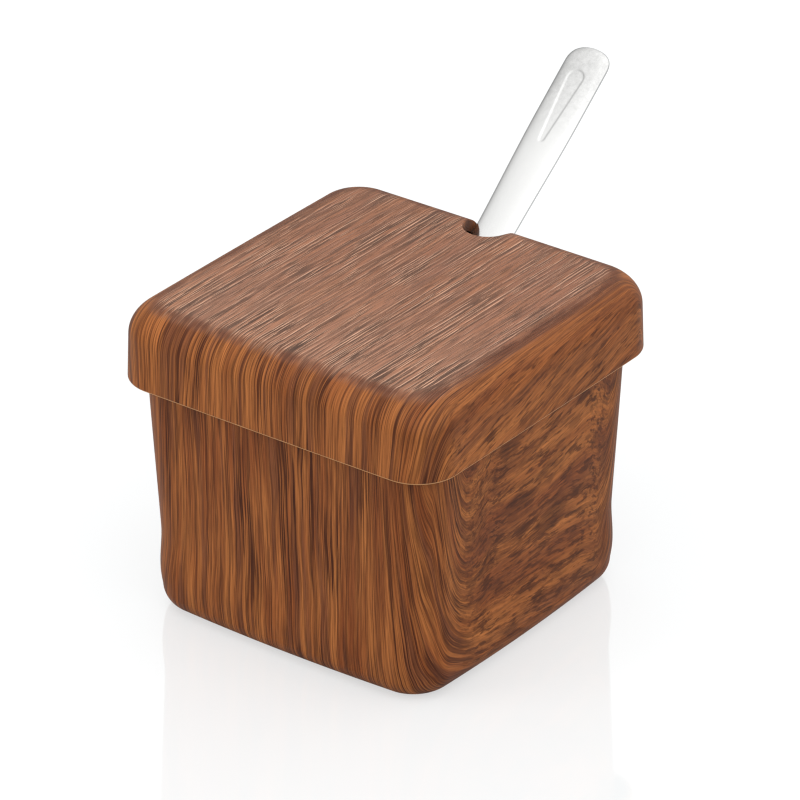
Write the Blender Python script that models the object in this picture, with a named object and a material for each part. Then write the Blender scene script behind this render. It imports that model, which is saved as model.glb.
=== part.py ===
# Square sugar bowl with an overlapping lid and a loose spoon.
# Three loose pieces: the bowl, the lid that drops over its rim, and the spoon, which
# leans on the rim and comes out through a U-shaped slot in the lid's back edge.
# Metres, +Z up, origin at the middle of the flat underside. The slot faces +Y.

import bpy
import bmesh
from math import sin, cos, pi, radians, sqrt
from mathutils import Vector

# lid
LID_TOP = 0.083             # height of the closed lid's flat top
LID_SKIRT = 0.0200          # height of the lid, flat top to skirt's edge
LID_CLEARANCE = 0.0008      # between the bowl's outside and the skirt's inside
LID_CORNER_MORE = 0.0004    # the lid's upright corners are this much rounder than the bowl's
LID_EDGE = 0.0084           # rounding between the top and the skirt
LID_DRAFT = 0.0003          # the skirt leans in by this up to the rounding
LID_BULGE = 0.004           # share by which the sides bow out
LID_TOP_THICK = 0.0030
LID_WALL = 0.0024
SLOT_CLEARANCE = 0.0011     # beside the handle, on each side, in the spoon's slot
SLOT_ROOM = 0.0082          # in front of the handle, so that it can be tilted up and lifted

# bowl
BOWL_SIDE = 0.0886          # outside, at the rim
BOWL_TAPER = 0.0015         # each wall leans in by this from the rim to the foot
BOWL_CORNER = 0.0104
BOWL_WALL = 0.0026
RIM_BULGE = 0.004
BASE_BULGE = 0.034
FOOT_ROUND = 0.0060         # rounding between the walls and the underside
FOOT_SWELL = 0.0007         # the wall flares out a little above the foot
SWELL_HEIGHT = 0.0100
FLOOR_THICK = 0.0030
INNER_ROUND = 0.0070        # rounding of the inside floor's edge

# spoon
HANDLE_WIDTH = 0.0124       # near its end
SLOT_PART_WIDTH = 0.0102    # where it passes the slot
HANDLE_THICK = 0.0020
HANDLE_LEAN = 51.5          # degrees from upright, outside the bowl
HANDLE_OUT = 0.0576         # from the rim to the handle's round end
END_ROUND = 0.0064          # length of the round end
NECK_WIDTH = 0.0062
NECK_THICK = 0.0030
NECK_BEND = 0.0400          # length over which the handle bends down to the neck
SCOOP_LENGTH = 0.0400       # the spoon's own bowl
SCOOP_WIDTH = 0.0270
SCOOP_DEPTH = 0.0068
SCOOP_THICK = 0.0014
SCOOP_LEAN = 55.0
TIP_FROM_WALL = 0.0140      # the scoop's tip lies on the floor, this far from the front wall
SPOON_ASIDE = -0.0005       # the spoon lies this far off the slot's middle

GAP = 0.0003                # left between pieces that touch

ARC_STEPS = 7               # segments in a quarter round
SIDE_STEPS = 4              # segments along a straight side
END_STEPS = 8               # segments in the handle's round end
SPINE_STEP = 0.002          # between stations along the spoon


def clearScene():
    for item in list(bpy.data.objects):
        bpy.data.objects.remove(item, do_unlink=True)
    for mesh in list(bpy.data.meshes):
        bpy.data.meshes.remove(mesh)


def makeMaterial(name, colour, roughness, metallic=0.0):
    material = bpy.data.materials.new(name)
    material.use_nodes = True
    shader = material.node_tree.nodes["Principled BSDF"]
    shader.inputs["Base Color"].default_value = (*colour, 1.0)
    shader.inputs["Roughness"].default_value = roughness
    shader.inputs["Metallic"].default_value = metallic
    return material


def outline(half, corner, bulge):
    """Points round a rounded square whose sides bow out by bulge, anticlockwise from +X."""
    corner = min(corner, half * 0.98)
    reach = half - corner
    points = []
    for quarter, (sx, sy) in enumerate(((1, 1), (-1, 1), (-1, -1), (1, -1))):
        for step in range(ARC_STEPS + 1):
            angle = (quarter + step / ARC_STEPS) * pi / 2
            points.append((sx * reach + corner * cos(angle), sy * reach + corner * sin(angle)))
        last = points[-1]
        turn = (quarter + 1) * pi / 2
        along = (-sin(turn), cos(turn))
        for step in range(1, SIDE_STEPS):
            run = 2 * reach * step / SIDE_STEPS
            points.append((last[0] + along[0] * run, last[1] + along[1] * run))
    return [(x * (1 - bulge * (y / half) ** 2), y * (1 - bulge * (x / half) ** 2)) for x, y in points]


def ringsToMesh(name, rings, closedLoop):
    """Joins rings of points into one closed skin. A closed loop joins last ring to first."""
    bm = bmesh.new()
    made = [[bm.verts.new(point) for point in ring] for ring in rings]
    count = len(made[0])
    pairs = list(zip(made, made[1:]))
    if closedLoop:
        pairs.append((made[-1], made[0]))
    for low, high in pairs:
        for i in range(count):
            j = (i + 1) % count
            bm.faces.new((low[i], low[j], high[j], high[i]))
    if not closedLoop:
        bm.faces.new(list(reversed(made[0])))
        bm.faces.new(made[-1])
    bmesh.ops.recalc_face_normals(bm, faces=bm.faces)
    mesh = bpy.data.meshes.new(name)
    bm.to_mesh(mesh)
    bm.free()
    return mesh


def addObject(name, mesh, material, location=(0, 0, 0)):
    item = bpy.data.objects.new(name, mesh)
    bpy.context.collection.objects.link(item)
    item.location = location
    mesh.materials.append(material)
    mesh.shade_smooth()
    mesh.set_sharp_from_angle(angle=radians(35))
    return item


# The lid's inside rounding decides how high the bowl's rim can reach.
bowlHalf = BOWL_SIDE / 2
baseHalf = bowlHalf - BOWL_TAPER
lidHalf = bowlHalf + LID_CLEARANCE + LID_WALL
lidCorner = BOWL_CORNER + LID_CORNER_MORE
lidBottom = LID_TOP - LID_SKIRT
lidEdgeHalf = lidHalf - LID_DRAFT               # half side where the top rounding starts
lidInHalf = lidHalf - LID_WALL                  # half side inside the skirt
lidUnder = LID_TOP - LID_TOP_THICK              # underside of the lid's top
lidInRound = LID_EDGE - LID_WALL                # rounding inside, concentric with the outside
inCentreHalf = lidInHalf - LID_DRAFT - lidInRound
inCentreZ = lidUnder - lidInRound

rimRound = BOWL_WALL / 2                        # the rim is a full round
rimCentreHalf = bowlHalf - rimRound
rimReach = lidInRound - rimRound - GAP
rimCentreZ = inCentreZ + sqrt(max(rimReach ** 2 - (rimCentreHalf - inCentreHalf) ** 2, 0.0))

# The handle lies on the rim. Where it passes the underside of the lid's top, the slot leaves
# it room in front and on both sides.
leanAngle = radians(HANDLE_LEAN)
handleUp = Vector((0, sin(leanAngle), cos(leanAngle)))
handleFront = Vector((0, -cos(leanAngle), sin(leanAngle)))
restPoint = Vector((0, rimCentreHalf, rimCentreZ)) + handleFront * (rimRound + GAP + HANDLE_THICK / 2)
slotHalf = SLOT_PART_WIDTH / 2 + SLOT_CLEARANCE
handleFrontY = (restPoint.y + (lidUnder - restPoint.z) * handleUp.y / handleUp.z
                - HANDLE_THICK / 2 / handleUp.z)
slotInsideY = handleFrontY - SLOT_ROOM


def smoothStep(low, high, value):
    t = min(max((value - low) / (high - low), 0.0), 1.0)
    return t * t * (3 - 2 * t)


def wallHalf(z):
    """Half the bowl's outside at height z: a straight taper, with a small flare near the foot."""
    taper = baseHalf + (bowlHalf - baseHalf) * (z - FOOT_ROUND) / (rimCentreZ - FOOT_ROUND)
    swell = FOOT_SWELL * (1 - smoothStep(SWELL_HEIGHT, SWELL_HEIGHT * 2.2, z))
    return taper + swell - FOOT_SWELL * (1 - smoothStep(0, SWELL_HEIGHT, z))


def wallBulge(z):
    return BASE_BULGE + (RIM_BULGE - BASE_BULGE) * smoothStep(0.0, rimCentreZ, z)


def buildBowl():
    rings = []

    def addRing(half, corner, bulge, z):
        rings.append([(x, y, z) for x, y in outline(half, corner, bulge)])

    # outside: the foot's rounding, then the wall up to the rim
    for step in range(ARC_STEPS):
        angle = step / ARC_STEPS * pi / 2
        inset = FOOT_ROUND * (1 - sin(angle))
        addRing(wallHalf(FOOT_ROUND) - inset, BOWL_CORNER - inset, wallBulge(0), FOOT_ROUND * (1 - cos(angle)))
    wallSteps = 10
    for step in range(wallSteps + 1):
        z = FOOT_ROUND + (rimCentreZ - FOOT_ROUND) * step / wallSteps
        addRing(wallHalf(z), BOWL_CORNER, wallBulge(z), z)
    # the rim's full round
    rimSteps = 6
    for step in range(1, rimSteps):
        angle = step / rimSteps * pi
        inset = rimRound * (1 - cos(angle))
        addRing(wallHalf(rimCentreZ) - inset, BOWL_CORNER - inset, RIM_BULGE, rimCentreZ + rimRound * sin(angle))
    # inside: down the wall, then the floor's rounding
    innerFoot = FLOOR_THICK + INNER_ROUND
    for step in range(wallSteps + 1):
        z = rimCentreZ + (innerFoot - rimCentreZ) * step / wallSteps
        addRing(wallHalf(z) - BOWL_WALL, BOWL_CORNER - BOWL_WALL, wallBulge(z), z)
    for step in range(1, ARC_STEPS + 1):
        angle = step / ARC_STEPS * pi / 2
        inset = INNER_ROUND * (1 - cos(angle))
        corner = max(BOWL_CORNER - BOWL_WALL - inset, 0.0025)
        addRing(wallHalf(innerFoot) - BOWL_WALL - inset, corner, wallBulge(0),
                FLOOR_THICK + INNER_ROUND * (1 - sin(angle)))
    return ringsToMesh("bowl", rings, False)


def buildLid():
    rings = []

    def addRing(half, corner, z):
        rings.append([(x, y, z) for x, y in outline(half, corner, LID_BULGE)])

    edgeZ = LID_TOP - LID_EDGE
    lip = LID_WALL * 0.3                         # the skirt's lower edge is eased outside
    # outside, from the skirt's edge up to the flat top
    addRing(lidHalf - lip, lidCorner - lip, lidBottom)
    addRing(lidHalf - lip * 0.3, lidCorner - lip * 0.3, lidBottom + lip * 0.3)
    addRing(lidHalf, lidCorner, lidBottom + lip)
    addRing(lidHalf - LID_DRAFT * 0.5, lidCorner, (lidBottom + edgeZ) / 2)
    for step in range(ARC_STEPS + 1):
        angle = step / ARC_STEPS * pi / 2
        inset = LID_EDGE * (1 - cos(angle))
        corner = max(lidCorner - inset * 0.6, 0.004)
        addRing(lidEdgeHalf - inset, corner, edgeZ + LID_EDGE * sin(angle))
    outside = rings
    # inside, from the underside of the top down to the skirt's edge
    rings = []
    for step in range(ARC_STEPS + 1):
        angle = step / ARC_STEPS * pi / 2
        inset = lidInRound * (1 - sin(angle))
        corner = max(lidCorner - LID_WALL - inset * 0.6, 0.004)
        addRing(lidInHalf - LID_DRAFT - inset, corner, inCentreZ + lidInRound * cos(angle))
    addRing(lidInHalf, lidCorner - LID_WALL, lidBottom)
    inside = rings
    # one skin: top cap, outside turned top to bottom, inside bottom to top, inner cap
    skin = list(reversed(outside)) + list(reversed(inside))
    return ringsToMesh("lid", skin, False)


def buildSlotCutter():
    """A U-shaped block, open to the back: a half round, then straight sides past the lid."""
    radius = slotHalf
    centreY = slotInsideY + radius
    back = lidHalf + 0.01
    points = [(radius, back), (radius, centreY)]
    steps = 16
    for step in range(1, steps):
        angle = -pi * step / steps
        points.append((radius * cos(angle), centreY + radius * sin(angle)))
    points += [(-radius, centreY), (-radius, back)]
    rings = [[(x, y, z) for x, y in points] for z in (lidBottom - 0.01, LID_TOP + 0.01)]
    return ringsToMesh("slot_cutter", rings, False)


def leanAt(run, neckLean, neck):
    """Lean of the spoon at a distance run below the rim, for a straight neck of that length."""
    if run < 0:
        return leanAngle
    if run < NECK_BEND:
        return leanAngle + (neckLean - leanAngle) * smoothStep(0, NECK_BEND, run)
    run -= NECK_BEND + neck
    return neckLean + (radians(SCOOP_LEAN) - neckLean) * smoothStep(0, SCOOP_LENGTH * 0.35, run)


def walkDown(neckLean, neck):
    """Points (run, place, lean) from the rim down to the scoop's tip."""
    total = NECK_BEND + neck + SCOOP_LENGTH
    steps = int(round(total / SPINE_STEP))
    size = total / steps
    here = restPoint.copy()
    points = [(0.0, here.copy(), leanAngle)]
    for i in range(steps):
        angle = leanAt((i + 0.5) * size, neckLean, neck)
        here = here - Vector((0, sin(angle), cos(angle))) * size
        points.append(((i + 1) * size, here.copy(), leanAt((i + 1) * size, neckLean, neck)))
    return points


def lowestBack(points):
    """Height of the lowest point on the scoop's back."""
    total = points[-1][0]
    low = points[-1][1].z
    for run, here, angle in points:
        t = (run - (total - SCOOP_LENGTH)) / SCOOP_LENGTH
        if t >= 0:
            low = min(low, here.z - sin(angle) * (scoopDepth(t) + SCOOP_THICK))
    return low


def halve(low, high, tooLow):
    """The value between low and high at which tooLow stops being true."""
    for _ in range(26):
        middle = (low + high) / 2
        if tooLow(middle):
            low = middle
        else:
            high = middle
    return (low + high) / 2


def neckToFloor(neckLean):
    """The neck's length that brings the scoop's back down to the floor."""
    floorTop = FLOOR_THICK + GAP
    return halve(0.0, LID_TOP * 1.5, lambda neck: lowestBack(walkDown(neckLean, neck)) > floorTop)


def spine():
    """The spoon's middle line in the YZ plane, from the handle's round end to the tip, and where
    the scoop starts. The neck leans and reaches as far as brings the tip to its place."""
    tipY = -(wallHalf(FLOOR_THICK + INNER_ROUND) - BOWL_WALL) + TIP_FROM_WALL
    neckLean = halve(0.0, radians(HANDLE_LEAN),
                     lambda angle: walkDown(angle, neckToFloor(angle))[-1][1].y > tipY)
    neck = neckToFloor(neckLean)
    runs = [END_ROUND * (1 - cos(pi / 2 * i / END_STEPS)) for i in range(END_STEPS)]
    steps = int(round((HANDLE_OUT - END_ROUND) / SPINE_STEP))
    runs += [END_ROUND + (HANDLE_OUT - END_ROUND) * i / steps for i in range(steps)]
    above = [(run - HANDLE_OUT, restPoint + handleUp * (HANDLE_OUT - run), leanAngle) for run in runs]
    line = [(run + HANDLE_OUT, here, angle) for run, here, angle in above + walkDown(neckLean, neck)]
    return line, HANDLE_OUT + NECK_BEND + neck


def scoopDepth(t):
    """How far the scoop's floor dips below its rim, t from 0 at the neck to 1 at the tip."""
    t = min(max(t, 0.0), 1.0)
    return SCOOP_DEPTH * sin(pi * t ** 0.9) ** 0.8 if 0 < t < 1 else 0.0


def scoopHalf(t):
    """Half the scoop's width: an egg shape, widest a little past the middle."""
    t = min(max(t, 0.0), 1.0)
    return SCOOP_WIDTH / 2 * sqrt(max(1 - (2 * t ** 0.85 - 1) ** 2, 0.0)) ** 0.9


def buildSpoon():
    line, scoopStart = spine()
    total = line[-1][0]
    across = 14                                  # segments across the spoon
    tops = []
    bottoms = []
    for run, here, lean in line:
        t = (run - scoopStart) / (total - scoopStart)
        # width: round end, long slight taper to the slot, then down to the neck
        half = HANDLE_WIDTH / 2 + (SLOT_PART_WIDTH - HANDLE_WIDTH) / 2 * smoothStep(0.02, HANDLE_OUT, run)
        half += (NECK_WIDTH - SLOT_PART_WIDTH) / 2 * smoothStep(HANDLE_OUT, scoopStart - 0.006, run)
        if run < END_ROUND:
            half *= sqrt(max(1 - ((END_ROUND - run) / END_ROUND) ** 2, 0.0)) * 0.97 + 0.03
        blend = 0.0
        if t > 0:
            blend = smoothStep(0.0, 0.16, t)
            half = max(half * (1 - smoothStep(0.0, 0.3, t)), scoopHalf(t), 0.0012)
        thick = HANDLE_THICK + (NECK_THICK - HANDLE_THICK) * smoothStep(HANDLE_OUT, scoopStart, run)
        thick += (SCOOP_THICK - NECK_THICK) * smoothStep(scoopStart - 0.004, scoopStart + 0.008, run)
        if run < END_ROUND:
            thick *= 0.55 + 0.45 * sqrt(max(1 - ((END_ROUND - run) / END_ROUND) ** 2, 0.0))
        front = Vector((0, -cos(lean), sin(lean)))
        top = []
        bottom = []
        for k in range(across + 1):
            u = -cos(pi * k / across)            # closer together towards the edges
            dip = scoopDepth(t) * blend * (1 - u * u)
            edge = 0.35 + 0.65 * sqrt(max(1 - u ** 6, 0.0))
            side = Vector((SPOON_ASIDE + half * u, 0, 0))
            top.append(here + side + front * (thick / 2 * edge - dip))
            bottom.append(here + side - front * (thick / 2 * edge + dip))
        tops.append(top)
        bottoms.append(bottom)
    rings = [top + list(reversed(bottom)) for top, bottom in zip(tops, bottoms)]
    return ringsToMesh("spoon", rings, False)


clearScene()

woodPrint = makeMaterial("wood_print", (0.23, 0.085, 0.03), 0.42)
woodPrintLid = makeMaterial("wood_print_lid", (0.25, 0.10, 0.045), 0.45)
polishedSteel = makeMaterial("polished_steel", (0.80, 0.80, 0.79), 0.14, metallic=1.0)

bowl = addObject("bowl", buildBowl(), woodPrint)

lidMesh = buildLid()
lid = addObject("lid", lidMesh, woodPrintLid)
cutterMesh = buildSlotCutter()
cutter = bpy.data.objects.new("slot_cutter", cutterMesh)
bpy.context.collection.objects.link(cutter)
cutter.hide_render = True
cutter.display_type = "WIRE"
slot = lid.modifiers.new("slot", "BOOLEAN")
slot.operation = "DIFFERENCE"
slot.solver = "EXACT"
slot.object = cutter

spoon = addObject("spoon", buildSpoon(), polishedSteel)
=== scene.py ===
import bpy
import bmesh
import numpy as np
from math import sin, cos, tan, asin, pi, radians, sqrt
from mathutils import Matrix, Vector


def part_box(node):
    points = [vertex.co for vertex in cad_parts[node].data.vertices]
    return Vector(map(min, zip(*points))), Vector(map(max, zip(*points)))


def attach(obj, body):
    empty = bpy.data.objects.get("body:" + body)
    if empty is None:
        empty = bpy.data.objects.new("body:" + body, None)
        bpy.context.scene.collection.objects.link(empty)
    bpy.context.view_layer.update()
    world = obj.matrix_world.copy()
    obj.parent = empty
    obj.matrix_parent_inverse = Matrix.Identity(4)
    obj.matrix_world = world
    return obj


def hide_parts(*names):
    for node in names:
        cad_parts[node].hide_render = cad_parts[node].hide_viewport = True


# Square sugar bowl with a wood-look film print, its overlapping lid and a pressed steel spoon.
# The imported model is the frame: sizes come from its boxes, and every piece rides on its bodies.
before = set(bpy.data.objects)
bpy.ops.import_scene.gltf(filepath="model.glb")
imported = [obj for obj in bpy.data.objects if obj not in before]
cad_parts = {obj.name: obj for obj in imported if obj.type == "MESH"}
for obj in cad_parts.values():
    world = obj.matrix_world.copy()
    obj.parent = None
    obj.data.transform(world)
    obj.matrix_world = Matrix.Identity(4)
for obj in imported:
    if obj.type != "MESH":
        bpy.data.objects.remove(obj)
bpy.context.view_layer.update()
print("frame loaded")

mm = 0.001


# small helpers for node trees
class Graph:
    # adds nodes to a tree; an input is fed by a socket, a node or a plain value
    def __init__(self, tree):
        self.tree = tree

    def feed(self, socket, value):
        if value is None:
            return
        if isinstance(value, bpy.types.Node):
            value = value.outputs[0]
        if isinstance(value, bpy.types.NodeSocket):
            self.tree.links.new(value, socket)
        else:
            socket.default_value = value

    def node(self, kind, inputs=None, **settings):
        made = self.tree.nodes.new(kind)
        for key, value in settings.items():
            setattr(made, key, value)
        for name, value in (inputs or {}).items():
            self.feed(made.inputs[name], value)
        return made

    def math(self, operation, a, b=None, clamp=False):
        made = self.node("ShaderNodeMath", operation=operation, use_clamp=clamp)
        self.feed(made.inputs[0], a)
        self.feed(made.inputs[1], b)
        return made.outputs[0]


def setInputs(modifier, values):
    # a tree's inputs are set by the identifiers of their sockets
    for item in modifier.node_group.interface.items_tree:
        if item.item_type == "SOCKET" and item.in_out == "INPUT" and item.name in values:
            modifier[item.identifier] = values[item.name]


def smoothStep(low, high, value):
    t = np.clip((value - low) / (high - low), 0.0, 1.0)
    return t * t * (3 - 2 * t)


def arcSteps(first, last, count):
    return [first + (last - first) * i / count for i in range(count + 1)]


# sizes
bowlSizes = dict(
    taper=1.5 * mm,          # each wall leans in by this from the rim to the foot
    corner=10.4 * mm,
    wall=2.6 * mm,
    bowRim=0.004,            # share by which the sides bow out, at the rim and at the foot
    bowFoot=0.034,
    footRound=6.0 * mm,
    footSwell=0.7 * mm,      # the wall flares out a little above the foot
    swellHeight=10.0 * mm,
    floor=3.0 * mm,
    innerRound=7.0 * mm,
    rimDrop=7.6885 * mm,     # from the lid's top to the middle of the rim's rounding
    gateMark=3.4 * mm,       # radius of the moulding mark under the foot
    cornerSteps=26,
    sideSteps=34,
)
lidSizes = dict(
    skirt=20.0 * mm,
    cornerMore=0.4 * mm,     # the lid's upright corners are this much rounder than the bowl's
    edge=8.4 * mm,           # rounding between the top and the skirt
    draft=0.3 * mm,
    bow=0.004,
    top=3.0 * mm,
    wall=2.4 * mm,
    clearance=0.8 * mm,      # between the skirt's inside and the bowl
    lip=0.7 * mm,            # easing of the skirt's lower edge
    slotHalf=6.2 * mm,       # the spoon's slot
    slotMiddle=41.11 * mm,   # how far back the middle of the slot's half round lies
    slotEase=0.4 * mm,       # easing of the slot's edge
    cornerSteps=26,
    sideSteps=34,
)

lidLow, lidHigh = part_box("lid")
lidHalf = (lidHigh[0] - lidLow[0]) / 2
lidTop = lidHigh[2]
bowlHalf = lidHalf - lidSizes["clearance"] - lidSizes["wall"]
rimMiddle = lidTop - bowlSizes["rimDrop"]


# the shell tree: a rounded square swept along a profile
def shellTree():
    tree = bpy.data.node_groups.new("roundedSquareShell", "GeometryNodeTree")
    tree.is_modifier = True
    sockets = tree.interface
    sockets.new_socket("Profile", in_out="INPUT", socket_type="NodeSocketGeometry")
    for name, value in (("Half side", 0.044), ("Corner radius", 0.010), ("Bow at foot", 0.0),
                        ("Bow at rim", 0.0), ("Bow height", 0.07)):
        sockets.new_socket(name, in_out="INPUT", socket_type="NodeSocketFloat").default_value = value
    for name, value in (("Corner steps", 16), ("Side steps", 16)):
        sockets.new_socket(name, in_out="INPUT", socket_type="NodeSocketInt").default_value = value
    sockets.new_socket("Material", in_out="INPUT", socket_type="NodeSocketMaterial")
    sockets.new_socket("Shell", in_out="OUTPUT", socket_type="NodeSocketGeometry")

    g = Graph(tree)
    take = g.node("NodeGroupInput").outputs
    rings = g.node("GeometryNodeAttributeDomainSize", {"Geometry": take["Profile"]}).outputs["Point Count"]
    perQuarter = g.math("ADD", take["Corner steps"], take["Side steps"])
    around = g.math("MULTIPLY", perQuarter, 4)
    grid = g.node("GeometryNodeMeshGrid", {"Size X": 1.0, "Size Y": 1.0, "Vertices Y": rings,
                                           "Vertices X": g.math("ADD", around, 1)})
    index = g.node("GeometryNodeInputIndex")
    column = g.math("FLOOR", g.math("DIVIDE", g.math("ADD", index, 0.5), rings))
    row = g.math("SUBTRACT", index, g.math("MULTIPLY", column, rings))

    # how far round: which quarter, the turn within its corner, then the slide along its side
    quarter = g.math("FLOOR", g.math("DIVIDE", g.math("ADD", column, 0.5), perQuarter))
    step = g.math("SUBTRACT", column, g.math("MULTIPLY", quarter, perQuarter))
    turn = g.math("MULTIPLY", g.math("DIVIDE", step, take["Corner steps"], clamp=True), pi / 2)
    slide = g.math("DIVIDE", g.math("MAXIMUM", g.math("SUBTRACT", step, take["Corner steps"]), 0.0),
                   take["Side steps"])

    # the profile's point holds the inset, the corner's lessening and the height
    point = g.node("GeometryNodeSampleIndex", {"Geometry": take["Profile"], "Index": row},
                   data_type="FLOAT_VECTOR")
    g.feed(point.inputs["Value"], g.node("GeometryNodeInputPosition"))
    inset, less, height = g.node("ShaderNodeSeparateXYZ", {0: point}).outputs
    half = g.math("MAXIMUM", g.math("SUBTRACT", take["Half side"], inset), 0.0)
    corner = g.math("MINIMUM", g.math("MAXIMUM", g.math("SUBTRACT", take["Corner radius"], less), 0.0), half)
    reach = g.math("SUBTRACT", half, corner)
    x = g.math("ADD", g.math("MULTIPLY", reach, g.math("SUBTRACT", 1.0, g.math("MULTIPLY", slide, 2.0))),
               g.math("MULTIPLY", corner, g.math("COSINE", turn)))
    y = g.math("ADD", reach, g.math("MULTIPLY", corner, g.math("SINE", turn)))
    turned = g.node("ShaderNodeVectorRotate", {"Vector": g.node("ShaderNodeCombineXYZ", {0: x, 1: y}),
                                               "Angle": g.math("MULTIPLY", quarter, pi / 2)},
                    rotation_type="Z_AXIS")
    px, py, _ = g.node("ShaderNodeSeparateXYZ", {0: turned}).outputs

    # sides bow out, more at the foot than at the rim
    bow = g.node("ShaderNodeMapRange", {"Value": height, "From Min": 0.0, "From Max": take["Bow height"],
                                        "To Min": take["Bow at foot"], "To Max": take["Bow at rim"]},
                 interpolation_type="SMOOTHSTEP")

    def bowed(along, across):
        share = g.math("POWER", g.math("DIVIDE", across, half), 2.0)
        return g.math("MULTIPLY", along, g.math("SUBTRACT", 1.0, g.math("MULTIPLY", bow.outputs[0], share)))

    place = g.node("ShaderNodeCombineXYZ", {0: bowed(px, py), 1: bowed(py, px), 2: height})
    moved = g.node("GeometryNodeSetPosition", {"Geometry": grid.outputs["Mesh"], "Position": place})
    closed = g.node("GeometryNodeMergeByDistance", {"Geometry": moved, "Distance": 0.000004})
    smooth = g.node("GeometryNodeSetShadeSmooth", {0: closed})
    real = g.node("GeometryNodeRealizeInstances", {"Geometry": smooth})
    done = g.node("GeometryNodeSetMaterial", {"Geometry": real, "Material": take["Material"]})
    tree.links.new(done.outputs[0], g.node("NodeGroupOutput").inputs[0])
    return tree


def polyline(name, points):
    mesh = bpy.data.meshes.new(name)
    mesh.from_pydata(points, [(i, i + 1) for i in range(len(points) - 1)], [])
    item = bpy.data.objects.new(name, mesh)
    bpy.context.scene.collection.objects.link(item)
    return item


def plainMesh(item, name):
    # what the modifiers make, as a plain mesh in an object of its own
    mesh = bpy.data.meshes.new_from_object(item.evaluated_get(bpy.context.evaluated_depsgraph_get()))
    mesh.name = name
    made = bpy.data.objects.new(name, mesh)
    bpy.context.scene.collection.objects.link(made)
    old = item.data
    bpy.data.objects.remove(item)
    bpy.data.meshes.remove(old)
    return made


shell = shellTree()


def sweep(name, points, half, corner, sizes, bows, bowHeight, material):
    line = polyline(name + "Profile", points)
    swept = line.modifiers.new("shell", "NODES")
    swept.node_group = shell
    setInputs(swept, {"Half side": half, "Corner radius": corner, "Bow at foot": bows[0], "Bow at rim": bows[1],
                      "Bow height": bowHeight, "Corner steps": sizes["cornerSteps"],
                      "Side steps": sizes["sideSteps"], "Material": material})
    return plainMesh(line, name)


# materials
def newMaterial(name):
    material = bpy.data.materials.new(name)
    material.use_nodes = True
    material.node_tree.nodes.clear()
    return material, Graph(material.node_tree)


woodLook = dict(
    golden=(0.372, 0.128, 0.035),
    red=(0.184, 0.047, 0.013),
    dark=(0.056, 0.014, 0.005),
    # tan: a painted highlight beside the top's strokes, and a painted sheen towards the top's front
    tan=(0.720, 0.430, 0.290),
    grey=(0.080, 0.043, 0.029),
    # paintedSheenPink: the flat top's pale ground, a painted sheen
    paintedSheenPink=(0.305, 0.143, 0.090),
    # lipHighlightAndHandleEnd: a painted highlight along the lid's lower edge
    lipHighlightAndHandleEnd=(0.640, 0.330, 0.140),
    inside=(0.075, 0.027, 0.013),
    roughness=0.42,
    plum=(0.115, 0.037, 0.018),
    redShare=0.50,
    dashes=0.51,             # noise value from which a dash or a cloud shows on the sides; lower gives more
    clouds=0.53,
)
lidLook = dict(woodLook, redShare=0.30, dashes=0.555, clouds=0.58)


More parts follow.
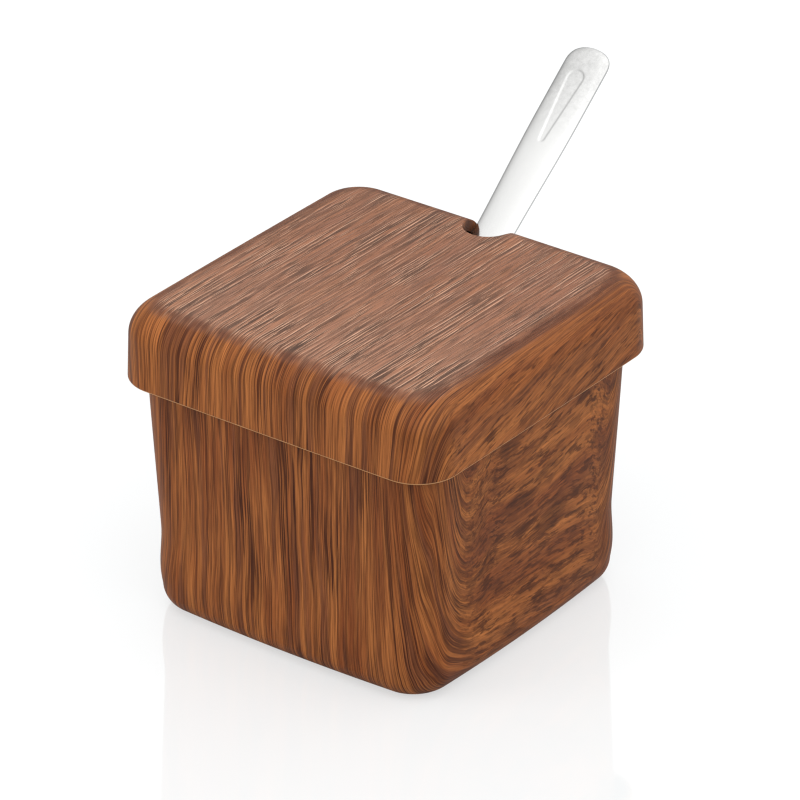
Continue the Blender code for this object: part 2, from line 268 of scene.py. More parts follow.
def makeWood(name, seed, look):
    # film coordinates are in the UV map "film", in tenths of a metre: across the grain, then along it.
    # The attribute "zones" holds how flat-topped, how side-stretched and how far inside a point is.
    material, g = newMaterial(name)
    film = g.node("ShaderNodeUVMap", uv_map="film")
    fu, fv, _ = g.node("ShaderNodeSeparateXYZ", {0: film}).outputs
    zones = g.node("ShaderNodeAttribute", attribute_name="zones")
    onTop, onSide, inside = g.node("ShaderNodeSeparateColor", {0: zones.outputs["Color"]}).outputs
    edge = g.node("ShaderNodeAttribute", attribute_name="edge").outputs["Fac"]
    across = g.math("MULTIPLY", fu, 100.0)       # tenths of a metre to millimetres
    along = g.math("MULTIPLY", fv, 100.0)

    def noise(du, dv, offset, detail=2.0, rough=0.5, u=None):
        # a noise with cells du across the grain and dv along it, in millimetres
        u = across if u is None else u
        place = g.node("ShaderNodeCombineXYZ", {0: g.math("DIVIDE", u, du), 1: g.math("DIVIDE", along, dv),
                                                2: seed + offset})
        return g.node("ShaderNodeTexNoise", {"Vector": place, "Scale": 1.0, "Detail": detail,
                                             "Roughness": rough}).outputs["Fac"]

    def centred(value, size):
        return g.math("MULTIPLY", g.math("SUBTRACT", value, 0.5), size)

    def window(value, low, high):
        return g.node("ShaderNodeMapRange", {"Value": value, "From Min": low, "From Max": high},
                      interpolation_type="SMOOTHSTEP").outputs[0]

    def blend(share, a, b, kind="MIX"):
        made = g.node("ShaderNodeMix", data_type="RGBA", blend_type=kind)
        g.feed(made.inputs[0], share)
        g.feed(made.inputs[6], a if not isinstance(a, tuple) else (*a, 1.0))
        g.feed(made.inputs[7], b if not isinstance(b, tuple) else (*b, 1.0))
        return made.outputs[2]

    def times(*values):
        made = values[0]
        for value in values[1:]:
            made = g.math("MULTIPLY", made, value)
        return made

    # the grain wanders slowly and shivers a little
    wander = g.math("ADD", centred(noise(26, 60, 1.3, 1.0), 5.0), centred(noise(5, 16, 7.7, 1.0), 0.9))
    u = g.math("ADD", across, wander)

    # ground colour
    broad = window(noise(6.5, 70, 11.1, 2.0, u=u), 0.38, 0.66)
    colour = blend(times(broad, look["redShare"] + 0.3), look["golden"], look["red"])
    mid = window(noise(1.9, 34, 13.9, 2.0, u=u), 0.42, 0.64)
    colour = blend(times(mid, look["redShare"]), colour, look["red"])

    band = window(noise(2.3, 75, 15.1, 1.0, u=u), 0.53, 0.62)
    colour = blend(times(band, 0.70, g.math("SUBTRACT", 1.0, times(onSide, 0.6))), colour, look["plum"])

    # crisp dark streaks, thicker where the clusters are
    cluster = window(noise(8.0, 40, 17.2, 1.0, u=u), 0.36, 0.66)
    streak = window(noise(0.60, 48, 23.4, 2.0, 0.55, u=u), 0.51, 0.585)
    thin = window(noise(0.33, 30, 29.8, 2.0, 0.6, u=u), 0.51, 0.59)
    crisp = g.math("SUBTRACT", 1.0, times(onSide, 0.75))
    colour = blend(times(streak, g.math("ADD", times(cluster, 0.65), 0.35), crisp), colour, look["dark"])
    colour = blend(times(thin, 0.62, crisp), colour, look["dark"])
    lightThin = window(noise(0.34, 24, 31.1, 2.0, 0.6, u=u), 0.53, 0.64)
    colour = blend(times(lightThin, 0.5, crisp), colour, look["golden"])

    # stretched sides: soft blotches and short dashes on a rippled grain
    ripple = g.math("ADD", u, centred(noise(6, 9, 39.3, 2.0), 1.0))
    cloud = window(noise(3.0, 17, 37.0, 3.0, 0.55, u=ripple), look["clouds"], look["clouds"] + 0.10)
    dash = window(noise(0.62, 7, 41.5, 3.0, 0.6, u=ripple), look["dashes"], look["dashes"] + 0.10)
    dashThin = window(noise(0.36, 6.0, 43.5, 2.0, 0.6, u=u), 0.51, 0.62)
    colour = blend(times(cloud, onSide, 0.50), colour, look["dark"])
    colour = blend(times(dash, onSide, 0.72), colour, look["dark"])
    colour = blend(times(dashThin, onSide, 0.45), colour, look["dark"])

    # flat top: paler, a painted sheen, with short grey-brown strokes and a pale one along one side of each, a
    # painted highlight
    colour = blend(times(onTop, 0.70), colour, look["paintedSheenPink"])
    patch = window(noise(7.0, 22, 45.1, 1.0), 0.38, 0.62)
    # painted sheen: towards its front the top is paler and more tan, and its strokes are stronger
    paintedFrontSheen = window(along, 20.0, -40.0)
    colour = blend(times(paintedFrontSheen, onTop, 0.10), colour, look["tan"])
    weight = g.math("ADD", times(patch, 0.60), g.math("ADD", times(paintedFrontSheen, 0.20), 0.30))

    def stroke(du, dv, offset, low, high, shift=0.0):
        return window(noise(du, dv, offset, 2.0, 0.55, u=g.math("ADD", across, shift)), low, high)

    big = stroke(0.74, 30, 47.7, 0.545, 0.60)
    bigHighlight = stroke(0.74, 30, 47.7, 0.535, 0.60, 0.36)
    small = stroke(0.38, 14, 53.2, 0.545, 0.61)
    smallHighlight = stroke(0.38, 14, 53.2, 0.535, 0.61, 0.21)
    hollow = g.math("MAXIMUM", big, small)
    smudge = window(noise(1.9, 15, 57.9, 2.0), 0.57, 0.68)
    colour = blend(times(smudge, onTop, 0.42), colour, look["grey"])
    # painted highlight: a tan stroke beside each grey stroke, where light would catch its raised side; it also
    # raises the relief
    ridgeHighlight = times(g.math("MAXIMUM", bigHighlight, smallHighlight), g.math("SUBTRACT", 1.0, hollow))
    colour = blend(times(ridgeHighlight, onTop, weight, 0.62), colour, look["tan"])
    colour = blend(times(hollow, onTop, weight, 0.78), colour, look["grey"])

    # darker where the top turns over the edge
    rim = times(onTop, g.math("SUBTRACT", 1.0, onTop), 4.0)
    smoke = window(noise(4.0, 9, 59.4, 2.0, u=u), 0.30, 0.62)
    colour = blend(times(rim, smoke, 0.74), colour, look["plum"])

    # fine fibres over everything
    fibre = noise(0.26, 9, 61.3, 2.0, 0.6, u=u)
    shade = g.math("ADD", times(fibre, 1.7), 0.15)
    colour = blend(0.9, colour, g.node("ShaderNodeCombineColor", {0: shade, 1: shade, 2: shade}), "MULTIPLY")

    # a pale line along the skirt's edge is a painted highlight, in place of light from below, and the print stops
    # inside
    speckle = g.node("ShaderNodeTexNoise", {"Vector": g.node("ShaderNodeTexCoord").outputs["Object"],
                                        "Scale": 260.0, "Detail": 2.0}).outputs["Fac"]
    lipHighlightAndHandleEnd = window(g.math("ADD", edge, centred(speckle, 0.6)), 0.35, 0.65)
    colour = blend(times(lipHighlightAndHandleEnd, 0.9), colour, look["lipHighlightAndHandleEnd"])
    plain = blend(times(centred(speckle, 1.0), 0.5), look["inside"], look["dark"])
    colour = blend(inside, colour, plain)

    # relief: strokes on the top, faint fibres elsewhere
    relief = g.math("SUBTRACT", times(ridgeHighlight, onTop, 0.5), times(hollow, onTop, 1.2))
    relief = g.math("ADD", relief, times(g.math("SUBTRACT", fibre, 0.5), 0.16))
    relief = g.math("ADD", relief, centred(speckle, 0.10))
    bump = g.node("ShaderNodeBump", {"Strength": 0.8, "Distance": 0.00016, "Height": relief})
    rough = g.math("ADD", look["roughness"], g.math("ADD", centred(fibre, 0.10), centred(broad, -0.06)))
    shader = g.node("ShaderNodeBsdfPrincipled", {"Base Color": colour, "Roughness": rough, "Normal": bump,
                                                 "IOR": 1.5, "Specular IOR Level": 0.15})
    g.node("ShaderNodeOutputMaterial", {"Surface": shader})
    return material


steelLook = dict(colour=(0.83, 0.83, 0.82), roughness=0.12)


def makeSteel():
    material, g = newMaterial("polishedSteel")
    place = g.node("ShaderNodeTexCoord").outputs["Object"]
    brushed = g.node("ShaderNodeMapping", {"Vector": place, "Rotation": (radians(-38.5), 0.0, 0.0),
                                           "Scale": (9000.0, 60.0, 900.0)})
    hair = g.node("ShaderNodeTexNoise", {"Vector": brushed, "Scale": 1.0, "Detail": 3.0}).outputs["Fac"]
    cloud = g.node("ShaderNodeTexNoise", {"Vector": place, "Scale": 90.0, "Detail": 3.0}).outputs["Fac"]
    smear = g.node("ShaderNodeMapRange", {"Value": cloud, "To Min": steelLook["roughness"] - 0.03,
                                          "To Max": steelLook["roughness"] + 0.06})
    rough = g.math("ADD", smear.outputs[0], g.math("MULTIPLY", g.math("SUBTRACT", hair, 0.5), 0.05))
    tone = g.node("ShaderNodeMapRange", {"Value": hair, "To Min": 0.95, "To Max": 1.0})
    colour = g.node("ShaderNodeMix", data_type="RGBA", blend_type="MULTIPLY")
    colour.inputs[0].default_value = 1.0
    colour.inputs[6].default_value = (*steelLook["colour"], 1.0)
    # darker in blotches towards the handle's end
    high = g.node("ShaderNodeSeparateXYZ", {0: place}).outputs[2]
    lipHighlightAndHandleEnd = g.node("ShaderNodeMapRange", {"Value": high, "From Min": 0.092, "From Max": 0.112},
                  interpolation_type="SMOOTHSTEP").outputs[0]
    blots = g.node("ShaderNodeTexNoise", {"Vector": place, "Scale": 700.0, "Detail": 4.0, "Roughness": 0.7})
    endDarkening = g.math("MULTIPLY", lipHighlightAndHandleEnd, g.math("ADD", g.math("MULTIPLY", blots.outputs["Fac"], 0.45), -0.06))
    tone = g.math("MULTIPLY", tone.outputs[0], g.math("SUBTRACT", 1.0, endDarkening))
    grey = g.node("ShaderNodeCombineColor", {0: tone, 1: tone, 2: tone})
    g.feed(colour.inputs[7], grey)
    dents = g.node("ShaderNodeTexNoise", {"Vector": place, "Scale": 420.0, "Detail": 3.0}).outputs["Fac"]
    relief = g.math("ADD", g.math("MULTIPLY", dents, 4.0), g.math("MULTIPLY", hair, 0.3))
    bump = g.node("ShaderNodeBump", {"Strength": 0.35, "Distance": 0.00002, "Height": relief})
    shader = g.node("ShaderNodeBsdfPrincipled", {"Base Color": colour.outputs[2], "Metallic": 1.0,
                                                 "Roughness": rough, "Normal": bump})
    g.node("ShaderNodeOutputMaterial", {"Surface": shader})
    return material


woodBowl = makeWood("woodPrintBowl", 3.0, woodLook)
woodLid = makeWood("woodPrintLid", 90.0, lidLook)
steel = makeSteel()
print("materials made")


# the bowl
def bowlWall(z):
    # half the bowl's outside at a height: a straight taper, with a small flare near the foot
    s = bowlSizes
    foot = bowlHalf - s["taper"]
    taper = foot + s["taper"] * (z - s["footRound"]) / (rimMiddle - s["footRound"])
    flare = s["footSwell"] * (1 - smoothStep(s["swellHeight"], s["swellHeight"] * 2.2, z))
    return float(taper + flare - s["footSwell"] * (1 - smoothStep(0, s["swellHeight"], z)))


def bowlProfile():
    # rows of (inset, corner's lessening, height), from the middle of the underside over the rim to the inside,
    # then the rows where the foot's rounding starts and where the outside ends
    s = bowlSizes
    points = []
    rimSteps = 14

    def ring(half, corner, z):
        points.append((bowlHalf - half, s["corner"] - corner, z))

    mark = s["gateMark"]
    markEdge = 3.4
    for radius, z in ((0, 0.15), (0.55, 0.15), (0.75, 0.45), (0.9, 0.5), (2.9, 0.5), (3.2, 0.35), (markEdge, 0.1)):
        ring(radius / markEdge * mark, s["corner"], z * mm)
    footHalf = bowlWall(s["footRound"]) - s["footRound"]
    for share in (0.0, 0.15, 0.4, 0.65, 0.85, 0.97):
        half = mark * 1.06 + (footHalf - mark * 1.06) * share
        ring(half, s["corner"] * (1 - share) + (s["corner"] - s["footRound"]) * share, 0.0)
    footRow = len(points)
    for angle in arcSteps(0, pi / 2, 16)[:-1]:
        inset = s["footRound"] * (1 - sin(angle))
        ring(bowlWall(s["footRound"]) - inset, s["corner"] - inset, s["footRound"] * (1 - cos(angle)))
    for z in arcSteps(s["footRound"], rimMiddle, 70):
        ring(bowlWall(z), s["corner"], z)
    wallEnd = len(points) + rimSteps // 2 - 1
    rim = s["wall"] / 2
    for angle in arcSteps(0, pi, rimSteps)[1:-1]:
        ring(bowlWall(rimMiddle) - rim * (1 - cos(angle)), s["corner"] - rim * (1 - cos(angle)),
             rimMiddle + rim * sin(angle))
    innerFoot = s["floor"] + s["innerRound"]
    for z in arcSteps(rimMiddle, innerFoot, 44):
        ring(bowlWall(z) - s["wall"], s["corner"] - s["wall"], z)
    for angle in arcSteps(0, pi / 2, 14)[1:]:
        inset = s["innerRound"] * (1 - cos(angle))
        ring(bowlWall(innerFoot) - s["wall"] - inset, max(s["corner"] - s["wall"] - inset, 2.5 * mm),
             s["floor"] + s["innerRound"] * (1 - sin(angle)))
    last = bowlHalf - points[-1][0]
    for share in (0.8, 0.55, 0.3, 0.12, 0.0):
        ring(last * share, 2.5 * mm + 6 * mm * (1 - share), s["floor"])
    return points, footRow, wallEnd


# the lid
def lidProfile():
    # from the middle of the underside of the top, down inside, round the lip, up outside to the middle,
    # then the rows where the flat top starts and where the lip's outside starts
    s = lidSizes
    corner = bowlSizes["corner"] + s["cornerMore"]
    bottom = lidTop - s["skirt"]
    inHalf = lidHalf - s["wall"]
    inRound = s["edge"] - s["wall"]
    points = []

    def ring(half, cornerHere, z):
        points.append((lidHalf - half, corner - cornerHere, z))

    under = lidTop - s["top"]
    innerFlat = inHalf - s["draft"] - inRound
    for share in (0.0, 0.1, 0.25, 0.5, 0.75, 0.93):
        ring(innerFlat * share, corner * (1 - share) + 4.0 * mm * share, under)
    for angle in arcSteps(0, pi / 2, 14):
        inset = inRound * (1 - sin(angle))
        ring(inHalf - s["draft"] - inset, max(corner - s["wall"] - inset * 0.6, 4.0 * mm),
             under - inRound + inRound * cos(angle))
    for share in (0.25, 0.5, 0.75, 0.9):
        z = under - inRound + (bottom - under + inRound) * share
        ring(inHalf - s["draft"] * (1 - share), corner - s["wall"], z)
    # the lip: a small round inside, a larger one outside
    inner = 0.3 * mm
    for angle in arcSteps(0, pi / 2, 4):
        ring(inHalf + inner * (1 - cos(angle)), corner - s["wall"] + inner * (1 - cos(angle)),
             bottom + inner * (1 - sin(angle)))
    lipRow = len(points)
    for angle in arcSteps(0, pi / 2, 8):
        inset = s["lip"] * (1 - sin(angle))
        ring(lidHalf - inset, corner - inset, bottom + s["lip"] * (1 - cos(angle)))
    edgeZ = lidTop - s["edge"]
    for share in arcSteps(0, 1, 14)[1:-1]:
        z = bottom + s["lip"] + (edgeZ - bottom - s["lip"]) * share
        ring(lidHalf - s["draft"] * share, corner, z)
    for angle in arcSteps(0, pi / 2, 26):
        inset = s["edge"] * (1 - cos(angle))
        ring(lidHalf - s["draft"] - inset, max(corner - inset * 0.6, 4.0 * mm), edgeZ + s["edge"] * sin(angle))
    topRow = len(points) - 1
    flat = lidHalf - s["draft"] - s["edge"]
    last = corner - s["edge"] * 0.6
    for share in (0.96, 0.9, 0.8, 0.68, 0.54, 0.4, 0.26, 0.13, 0.0):
        ring(flat * share, last + (flat * share * 0.3) * (1 - share), lidTop)
    return points, topRow, lipRow


def slotCutter():
    # a U swept along the lid's back: a half round on the top, then straight down past the skirt
    s = lidSizes
    middle = s["slotMiddle"]
    path = []                                     # (y, z, outward y, outward z)
    edgeY, edgeZ = lidHalf - s["draft"] - s["edge"], lidTop - s["edge"]

    def surface(y):
        angle = asin(max(y - edgeY, 0.0) / s["edge"])
        return y, edgeZ + s["edge"] * cos(angle), sin(angle), cos(angle)

    for angle in arcSteps(asin((middle - edgeY) / s["edge"]), pi / 2, 18):
        path.append((edgeY + s["edge"] * sin(angle), edgeZ + s["edge"] * cos(angle), sin(angle), cos(angle)))
    for share in (0.3, 0.6, 0.9, 1.2, 1.5):
        path.append((lidHalf - s["draft"] * (1 - min(share, 1.0)), edgeZ - 11.6 * mm * share, 1.0, 0.0))
    ease = s["slotEase"]
    steepest = radians(62)
    levels = [(-0.6 * mm, s["slotHalf"] + ease * (1 - cos(steepest)) + 0.6 * mm * tan(steepest))]
    for angle in arcSteps(steepest, 0, 6):
        levels.append((ease * (sin(steepest) - sin(angle)), s["slotHalf"] + ease * (1 - cos(angle))))
    levels.append((5.2 * mm, s["slotHalf"]))
    bm = bmesh.new()
    grid = []
    for depth, wide in levels:
        row = []
        for y, z, ny, nz in reversed(path):
            row.append((wide, y - ny * depth, z - nz * depth))
        for angle in arcSteps(0, -pi, 24)[1:-1]:
            y, z, ny, nz = surface(middle + wide * sin(angle))
            row.append((wide * cos(angle), y - ny * depth, z - nz * depth))
        for y, z, ny, nz in path:
            row.append((-wide, y - ny * depth, z - nz * depth))
        grid.append([bm.verts.new(point) for point in row])
    count = len(grid[0])
    for low, high in zip(grid, grid[1:]):
        for i in range(count):
            j = (i + 1) % count
            bm.faces.new((low[i], low[j], high[j], high[i]))
    for row in (grid[0], grid[-1]):
        for i in range(count // 2):
            if i + 1 <= count - 2 - i:
                bm.faces.new(dict.fromkeys((row[i], row[i + 1], row[count - 2 - i], row[count - 1 - i])))
    bmesh.ops.recalc_face_normals(bm, faces=bm.faces)
    mesh = bpy.data.meshes.new("slotCutter")
    bm.to_mesh(mesh)
    bm.free()
    cutter = bpy.data.objects.new("slotCutter", mesh)
    bpy.context.scene.collection.objects.link(cutter)
    return cutter


# film coordinates
filmLook = dict(
    sideStretch=0.55,        # the film stretches across the grain on the two sides
    lean=13,                 # degrees the grain leans over by a corner
    leanRun=20 * mm,
    lidTurn=(-2 * mm, 16 * mm),     # where past a corner the grain turns level
    bowlTurn=(3 * mm, 31 * mm),
    lidTilt=(0.17, 0.0),     # how the streaks climb along the sides, at the flat face and per metre from it
    bowlTilt=(0.081, -2.27),
)


def filmMap(item, rows, flatRow, endRow, half, corner, bows, bowHeight, tilt, turnZone, flatIsTop):
    # The film lies flat on the face that touched it first and runs along the walls from there.
    mesh = item.data
    count = len(mesh.vertices)
    place = np.empty(count * 3, np.float32)
    mesh.vertices.foreach_get("co", place)
    place = place.reshape(-1, 3).astype(float)
    x, y, z = place.T
    outer = np.array([(half - p[0], corner - p[1], p[2]) for p in rows])
    outer = outer[flatRow:endRow] if endRow > flatRow else outer[endRow:flatRow + 1][::-1]
    run = np.concatenate([[0], np.cumsum(np.hypot(np.diff(outer[:, 0]), np.diff(outer[:, 2])))])
    facing = -1 if flatIsTop else 1
    heights = facing * outer[:, 2]
    halfHere = np.interp(facing * z, heights, outer[:, 0])
    cornerHere = np.interp(facing * z, heights, outer[:, 1])
    s = np.interp(facing * z, heights, run)

    # take the sides' bow out first
    bow = bows[0] + (bows[1] - bows[0]) * smoothStep(0, bowHeight, z)
    flatX, flatY = x.copy(), y.copy()
    for _ in range(4):
        flatX = x / (1 - bow * np.clip(flatY / halfHere, -1, 1) ** 2)
        flatY = y / (1 - bow * np.clip(flatX / halfHere, -1, 1) ** 2)
    flat = np.stack([flatX, flatY], axis=1)
    reach = halfHere - cornerHere
    inner = np.clip(flat, -reach[:, None], reach[:, None])
    away = np.linalg.norm(flat - inner, axis=1)
    depth = np.where(away > 1e-7, cornerHere - away, halfHere - np.abs(flat).max(axis=1))

    # film position: out from the flat face's edge, turning from along the grain to across it past each corner
    onFlat = (s < 1e-6) | (away <= 1e-7)
    flatHalf = outer[0, 0]
    spread = halfHere - flatHalf
    beyond = np.maximum(s - spread, 0)
    past = np.abs(flatX) - np.abs(flatY)
    lean = radians(filmLook["lean"])
    turnEnd = np.where(flatY < 0, turnZone[1], turnZone[1] * 0.7)
    turn = lean * smoothStep(-filmLook["leanRun"], 2 * mm, past)
    turn = turn + (pi / 2 - lean) * smoothStep(turnZone[0], turnEnd, past)
    side = np.sin(turn) ** 2
    stretch = 1 - (1 - filmLook["sideStretch"]) * side
    u = np.where(onFlat, x, flatX + np.sign(flatX) * np.sin(turn) * beyond * stretch)
    v = np.where(onFlat, y, flatY + np.sign(flatY) * np.cos(turn) * beyond)
    climb = smoothStep(0.0, 1.0, side) * smoothStep(0.0, 10 * mm, s) * (tilt[0] + tilt[1] * s)
    u = u + np.where(onFlat, 0.0, np.sign(x) * climb * (y + half))

    onSide = np.where(onFlat, 0.0, smoothStep(0.15, 0.95, side) * smoothStep(3 * mm, 9 * mm, s))
    if flatIsTop:
        onTop = np.where(onFlat, 1.0, 1 - smoothStep(0.0, 5.5 * mm, s))
        deep = smoothStep(0.3 * mm, 0.9 * mm, np.minimum(depth, outer[0, 2] - z))
        edge = 1 - smoothStep(0.25 * mm, 0.7 * mm, z - outer[-1, 2])
    else:
        onTop = edge = np.zeros(count)
        deep = np.where(z < 1.5 * mm, 0, smoothStep(0.9 * mm, 1.7 * mm, depth))
    film = mesh.uv_layers.new(name="film")
    corners = np.empty(len(mesh.loops), np.int32)
    mesh.loops.foreach_get("vertex_index", corners)
    film.data.foreach_set("uv", (np.stack([u, v], axis=1) * 10)[corners].astype(np.float32).ravel())
    zones = mesh.color_attributes.new(name="zones", type="FLOAT_COLOR", domain="POINT")
    zones.data.foreach_set("color", np.stack([onTop, onSide, deep, np.ones(count)], axis=1)
                           .astype(np.float32).ravel())
    edges = mesh.attributes.new(name="edge", type="FLOAT", domain="POINT")
    edges.data.foreach_set("value", edge.astype(np.float32))


bowlRows, footRow, wallEnd = bowlProfile()
bowlBows = (bowlSizes["bowFoot"], bowlSizes["bowRim"])
bowl = sweep("bowlShell", bowlRows, bowlHalf, bowlSizes["corner"], bowlSizes, bowlBows, rimMiddle, woodBowl)
filmMap(bowl, bowlRows, footRow, wallEnd, bowlHalf, bowlSizes["corner"], bowlBows, rimMiddle,
        filmLook["bowlTilt"], filmLook["bowlTurn"], False)
print("bowl", len(bowl.data.polygons))

lidRows, topRow, lipRow = lidProfile()
lidCorner = bowlSizes["corner"] + lidSizes["cornerMore"]
lidBows = (lidSizes["bow"], lidSizes["bow"])
lidBowHeight = 100 * mm
lidSolid = sweep("lidSolid", lidRows, lidHalf, lidCorner, lidSizes, lidBows, lidBowHeight, woodLid)
cutter = slotCutter()
cut = lidSolid.modifiers.new("slot", "BOOLEAN")
cut.operation = "DIFFERENCE"
cut.solver = "EXACT"
cut.object = cutter
lid = plainMesh(lidSolid, "lidShell")
bpy.data.objects.remove(cutter)
filmMap(lid, lidRows, topRow, lipRow, lidHalf, lidCorner, lidBows, lidBowHeight,
        filmLook["lidTilt"], filmLook["lidTurn"], True)
lid.data.materials.clear()
lid.data.materials.append(woodLid)
print("lid", len(lid.data.polygons))


# the spoon
spoonSizes = dict(
    width=12.4 * mm,         # near its end
    slotWidth=10.8 * mm,     # where it passes the slot
    thick=2.0 * mm,
    lean=radians(51.5),
    out=57.5 * mm,
    endRound=5.4 * mm,
    endSquare=2.6,           # a plain half ellipse is 2, squarer above
    neckWidth=6.2 * mm,
    neckThick=3.0 * mm,
    neckBend=40.0 * mm,
    scoopLength=40.0 * mm,
    scoopWidth=27.0 * mm,
    scoopDepth=6.8 * mm,
    scoopThick=1.4 * mm,
    scoopLean=radians(55.0),
    tipFromWall=14.0 * mm,
    aside=-0.5 * mm,
    crown=0.35 * mm,         # the handle's face is crowned by this
    dropNear=9.2 * mm,       # the sunken drop: middles of its wide and narrow ends, from the handle's end
    dropFar=27.0 * mm,
    dropWide=2.4 * mm,
    dropNarrow=0.8 * mm,
    dropAside=-0.4 * mm,
    dropDepth=0.16 * mm,
    across=72,
)
gap = 0.3 * mm


def spoonSpine():
    # the middle line, from the handle's round end over the rim to the scoop's tip
    s = spoonSizes
    rim = bowlSizes["wall"] / 2
    up = Vector((0, sin(s["lean"]), cos(s["lean"])))
    front = Vector((0, -cos(s["lean"]), sin(s["lean"])))
    rest = Vector((0, bowlHalf - rim, rimMiddle)) + front * (rim + gap + s["thick"] / 2)
    step = 0.5 * mm

    def ease(low, high, value):
        return float(smoothStep(low, high, value))

    def leanAt(run, neckLean, neck):
        if run < 0:
            return s["lean"]
        if run < s["neckBend"]:
            return s["lean"] + (neckLean - s["lean"]) * ease(0, s["neckBend"], run)
        run -= s["neckBend"] + neck
        return neckLean + (s["scoopLean"] - neckLean) * ease(0, s["scoopLength"] * 0.35, run)

    def walk(neckLean, neck, size=2 * mm):
        total = s["neckBend"] + neck + s["scoopLength"]
        steps = int(round(total / size))
        size = total / steps
        here = rest.copy()
        points = [(0.0, here.copy(), s["lean"])]
        for i in range(steps):
            angle = leanAt((i + 0.5) * size, neckLean, neck)
            here = here - Vector((0, sin(angle), cos(angle))) * size
            points.append(((i + 1) * size, here.copy(), leanAt((i + 1) * size, neckLean, neck)))
        return points

    def lowest(points):
        total = points[-1][0]
        low = points[-1][1].z
        for run, here, angle in points:
            t = (run - (total - s["scoopLength"])) / s["scoopLength"]
            if t >= 0:
                low = min(low, here.z - sin(angle) * (scoopDip(t) + s["scoopThick"]))
        return low

    def halve(low, high, tooLow):
        for _ in range(26):
            middle = (low + high) / 2
            low, high = (middle, high) if tooLow(middle) else (low, middle)
        return (low + high) / 2

    def neckFor(angle):
        floorTop = bowlSizes["floor"] + gap
        return halve(0.0, lidTop * 1.5, lambda neck: lowest(walk(angle, neck)) > floorTop)

    innerFoot = bowlSizes["floor"] + bowlSizes["innerRound"]
    tipY = -(bowlWall(innerFoot) - bowlSizes["wall"]) + s["tipFromWall"]
    neckLean = halve(0.0, s["lean"], lambda angle: walk(angle, neckFor(angle))[-1][1].y > tipY)
    neck = neckFor(neckLean)
    runs = [s["endRound"] * (1 - cos(pi / 2 * i / 26)) for i in range(26)]
    fine = s["dropFar"] + 3 * mm
    runs += arcSteps(s["endRound"], fine, int((fine - s["endRound"]) / (0.22 * mm)))[:-1]
    runs += arcSteps(fine, s["out"], int((s["out"] - fine) / step))[:-1]
    above = [(run, rest + up * (s["out"] - run), s["lean"]) for run in runs]
    below = [(run + s["out"], here, angle) for run, here, angle in walk(neckLean, neck, step)]
    return above + below, s["out"] + s["neckBend"] + neck


def scoopDip(t):
    t = min(max(t, 0.0), 1.0)
    return spoonSizes["scoopDepth"] * sin(pi * t ** 0.9) ** 0.8 if 0 < t < 1 else 0.0


def scoopHalf(t):
    t = min(max(t, 0.0), 1.0)
    return spoonSizes["scoopWidth"] / 2 * sqrt(max(1 - (2 * t ** 0.85 - 1) ** 2, 0.0)) ** 0.9


def dropSink(x, run):
    # depth of the sunken drop: a tapered round-ended outline with soft walls
    s = spoonSizes
    length = s["dropFar"] - s["dropNear"]
    x, y = abs(x - s["dropAside"]), run - s["dropNear"]
    b = (s["dropWide"] - s["dropNarrow"]) / length
    a = sqrt(1 - b * b)
    k = -b * x + a * y
    if k < 0:
        far = sqrt(x * x + y * y) - s["dropWide"]
    elif k > a * length:
        far = sqrt(x * x + (y - length) ** 2) - s["dropNarrow"]
    else:
        far = x * a + y * b - s["dropWide"]
    return s["dropDepth"] * float(smoothStep(0.15 * mm, -0.25 * mm, far)) if far < 0.15 * mm else 0.0


def buildSpoon():
    s = spoonSizes
    line, scoopStart = spoonSpine()
    total = line[-1][0]
    rings = []
    across = s["across"]
    for run, here, lean in line:
        t = (run - scoopStart) / (total - scoopStart)
        half = s["width"] / 2 + (s["slotWidth"] - s["width"]) / 2 * smoothStep(0.02, s["out"], run)
        half += (s["neckWidth"] - s["slotWidth"]) / 2 * smoothStep(s["out"], scoopStart - 0.006, run)
        rounding = 1.0
        if run < s["endRound"]:
            toEnd = (s["endRound"] - run) / s["endRound"]
            rounding = max(1 - toEnd ** s["endSquare"], 0.0) ** (1 / s["endSquare"])
            half *= rounding * 0.97 + 0.03
        blendIn = 0.0
        if t > 0:
            blendIn = float(smoothStep(0.0, 0.16, t))
            half = max(half * (1 - smoothStep(0.0, 0.3, t)), scoopHalf(t), 0.0012)
        thick = s["thick"] + (s["neckThick"] - s["thick"]) * smoothStep(s["out"], scoopStart, run)
        thick += (s["scoopThick"] - s["neckThick"]) * smoothStep(scoopStart - 0.004, scoopStart + 0.008, run)
        thick *= 0.55 + 0.45 * rounding
        front = Vector((0, -cos(lean), sin(lean)))
        top, bottom = [], []
        crown = s["crown"] * float(1 - smoothStep(s["out"], scoopStart, run))
        for k in range(across + 1):
            w = -cos(pi * k / across)
            dip = scoopDip(t) * blendIn * (1 - w * w)
            edge = 0.35 + 0.65 * sqrt(max(1 - w ** 6, 0.0))
            side = Vector((s["aside"] + half * w, 0, 0))
            sink = dropSink(half * w, run) + crown * w * w
            top.append(here + side + front * (thick / 2 * edge - dip - sink))
            bottom.append(here + side - front * (thick / 2 * edge + dip))
        rings.append(top + list(reversed(bottom)))
    bm = bmesh.new()
    made = [[bm.verts.new(point) for point in ring] for ring in rings]
    count = len(made[0])
    for low, high in zip(made, made[1:]):
        for i in range(count):
            j = (i + 1) % count
            bm.faces.new((low[i], low[j], high[j], high[i]))
    # the two ends close across their thickness
    n = across + 1
    for row in (made[0], made[-1]):
        for i in range(n - 1):
            bm.faces.new((row[i], row[i + 1], row[count - 2 - i], row[count - 1 - i]))
    bmesh.ops.recalc_face_normals(bm, faces=bm.faces)
    mesh = bpy.data.meshes.new("spoonBody")
    bm.to_mesh(mesh)
    bm.free()
    item = bpy.data.objects.new("spoonBody", mesh)
    bpy.context.scene.collection.objects.link(item)
    mesh.materials.append(steel)
    mesh.shade_smooth()
    mesh.set_sharp_from_angle(angle=radians(50))
    return item


spoon = buildSpoon()
print("spoon", len(spoon.data.polygons))

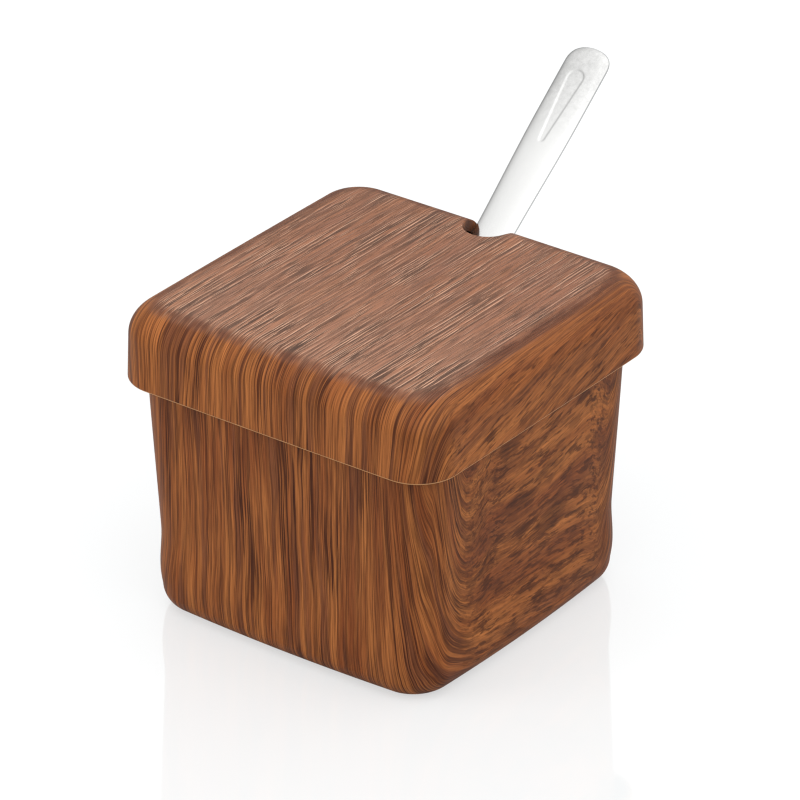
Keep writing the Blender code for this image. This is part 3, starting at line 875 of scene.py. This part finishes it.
for item in (bowl, lid):
    item.data.shade_smooth()
    item.data.set_sharp_from_angle(angle=radians(24))

for piece, body, slot, node in ((bowl, "bowl", "wood_print_body", "bowl"),
                                (lid, "lid", "wood_print_lid", "lid"),
                                (spoon, "spoon", "steel_spoon", "spoon")):
    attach(piece, body)
    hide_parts(node)
print("pieces ride")


# floor, light and camera
stageLook = dict(
    white=0.38,              # the table's own colour; most of its brightness is its lit surface
    glow=0.56,
    dimGlow=0.06,            # what the pieces get from it
    floorRoughness=0.05,
    floorIor=2.0,
    skyLow=0.40,             # the white tent: low on the left, and high on the right
    skyHigh=1.42,
    key=4.0,
    side=0.95,
)


def makeFloor():
    look = stageLook
    mesh = bpy.data.meshes.new("floor")
    size = 6.0
    around = [(-size, -size, 0), (size, -size, 0), (size, size, 0), (-size, size, 0)]
    mesh.from_pydata(around, [], [(0, 1, 2, 3)])
    floor = bpy.data.objects.new("floor", mesh)
    bpy.context.scene.collection.objects.link(floor)
    material, g = newMaterial("floorWhite")

    def table(glow):
        # a slightly cool white
        return g.node("ShaderNodeBsdfPrincipled", {
            "Base Color": (look["white"] * 0.95, look["white"] * 0.99, look["white"], 1.0),
            "Roughness": look["floorRoughness"], "IOR": look["floorIor"],
            "Emission Color": (1.0, 1.0, 1.0, 1.0), "Emission Strength": glow})

    # brighter as seen than as a light on the pieces
    seen = g.node("ShaderNodeLightPath").outputs["Is Camera Ray"]
    mixed = g.node("ShaderNodeMixShader", {0: seen, 1: table(look["dimGlow"]), 2: table(look["glow"])})
    g.node("ShaderNodeOutputMaterial", {"Surface": mixed})
    mesh.materials.append(material)


def makeSky():
    # a white tent, brightest high up on the right
    world = bpy.data.worlds.new("studio")
    bpy.context.scene.world = world
    world.use_nodes = True
    world.node_tree.nodes.clear()
    g = Graph(world.node_tree)
    x, y, z = g.node("ShaderNodeSeparateXYZ", {0: g.node("ShaderNodeTexCoord").outputs["Generated"]}).outputs
    height = g.math("ADD", g.math("ADD", g.math("MULTIPLY", x, 0.45), g.math("MULTIPLY", y, -0.10)),
                    g.math("MULTIPLY", z, 0.89))
    glow = g.node("ShaderNodeMapRange", {"Value": height, "From Min": -0.2, "From Max": 0.8,
                                         "To Min": stageLook["skyLow"], "To Max": stageLook["skyHigh"]})
    sky = g.node("ShaderNodeBackground", {"Color": (1.0, 1.0, 1.0, 1.0), "Strength": glow})
    g.node("ShaderNodeOutputWorld", {"Surface": sky})


makeFloor()
makeSky()

scene = bpy.context.scene
scene.cycles.filter_width = 1.3
scene.view_settings.view_transform = "Standard"


def softBox(name, place, target, size, power):
    light = bpy.data.lights.new(name, "AREA")
    light.shape = "RECTANGLE"
    light.size, light.size_y = size
    light.energy = power
    item = bpy.data.objects.new(name, light)
    item.location = place
    item.rotation_mode = "QUATERNION"
    item.rotation_quaternion = (Vector(target) - Vector(place)).to_track_quat("-Z", "Y")
    item.visible_glossy = False
    scene.collection.objects.link(item)


softBox("keyLight", (-0.65, -0.80, 0.34), (0, 0, 0.05), (0.6, 0.6), stageLook["key"])
softBox("sideLight", (0.95, 0.10, 0.40), (0, 0, 0.05), (0.6, 0.5), stageLook["side"])

cameraLook = dict(
    azimuth=36.8176,         # degrees round from the front, to the right
    elevation=28.205,
    roll=0.1069,
    distance=1.37529,
    aside=-0.003141,         # how far the bowl's middle lies off the view's middle
    above=-0.046095,
    lens=252.0356,
)


def makeCamera():
    a, e, roll = (radians(cameraLook[key]) for key in ("azimuth", "elevation", "roll"))
    back = Vector((sin(a) * cos(e), -cos(a) * cos(e), sin(e)))
    right = Vector((cos(a), sin(a), 0))
    up = back.cross(right)
    data = bpy.data.cameras.new("camera")
    data.lens = cameraLook["lens"]
    data.sensor_width = 36.0
    data.clip_start, data.clip_end = 0.01, 50.0
    item = bpy.data.objects.new("camera", data)
    item.location = back * cameraLook["distance"] - right * cameraLook["aside"] - up * cameraLook["above"]
    r = right * cos(roll) - up * sin(roll)
    u = right * sin(roll) + up * cos(roll)
    item.rotation_mode = "QUATERNION"
    item.rotation_quaternion = Matrix((r, u, back)).transposed().to_quaternion()
    scene.collection.objects.link(item)
    scene.camera = item


makeCamera()
print("stage set")
